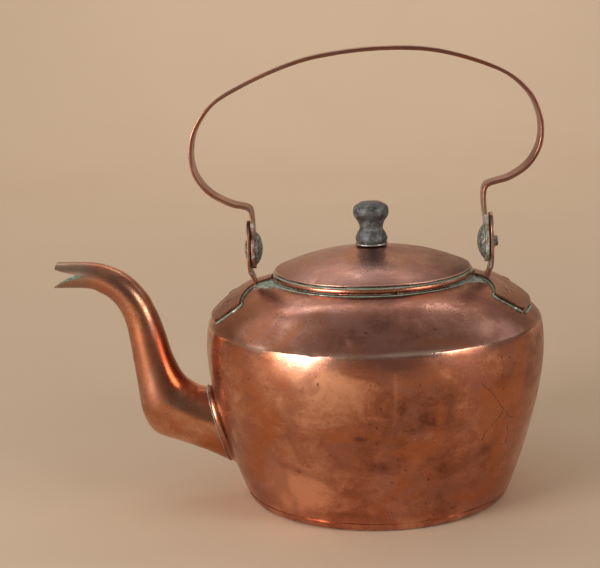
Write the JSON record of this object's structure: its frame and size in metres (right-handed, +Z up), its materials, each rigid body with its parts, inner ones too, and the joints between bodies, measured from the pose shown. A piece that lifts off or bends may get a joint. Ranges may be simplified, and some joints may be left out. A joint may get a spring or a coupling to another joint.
{
  "type": "stovetop kettle",
  "caption": "Hammered copper kettle with a goose-neck spout, a lift-off domed lid with a turned knob, and a strap bail that swings on riveted ears.",
  "frame": {"origin": "centre of the flat underside, on the surface the kettle stands on", "axes": "+Z up; the spout points to -X; the bail swings about an axis along X; +Y is the back"},
  "size_m": [0.2894, 0.1998, 0.2637],
  "materials": {
    "copper_body": "polished copper sheet with brown tarnish",
    "copper_dark": "darker purplish brown tarnished copper",
    "rivet_metal": "pitted grey-green iron",
    "pewter": "dull tin",
    "knob_wood": "worn black stain"
  },
  "bodies": {
    "kettle": {"base_plate": "copper_body", "body_wall": "copper_body", "shoulder": "copper_dark", "neck": "copper_body", "neck_bead": "copper_body", "spout_socket": "copper_body", "spout": "copper_body", "ear_left": "copper_dark", "bail_rivet_left": "rivet_metal", "bail_burr_left": "rivet_metal", "foot_rivet_left_front": "copper_dark", "foot_rivet_left_back": "copper_dark", "ear_right": "copper_dark", "bail_rivet_right": "rivet_metal", "bail_burr_right": "rivet_metal", "foot_rivet_right_front": "copper_dark", "foot_rivet_right_back": "copper_dark"},
    "lid": {"lid_dome": "copper_dark", "lid_skirt": "copper_body", "knob": "knob_wood", "knob_washer": "pewter", "knob_stud": "copper_body", "knob_burr": "copper_body"},
    "bail": {"bail": "copper_dark"}
  },
  "joints": [
    {"name": "bail_swing", "type": "hinge", "parent": "kettle", "child": "bail", "pos_m": [0, 0, 0.1487], "axis": [1, 0, 0], "range_deg": [-112, 112]},
    {"name": "lid_lift", "type": "slide", "parent": "kettle", "child": "lid", "axis": [0, 0, 1], "range_m": [0, 0.08]}
  ]
}
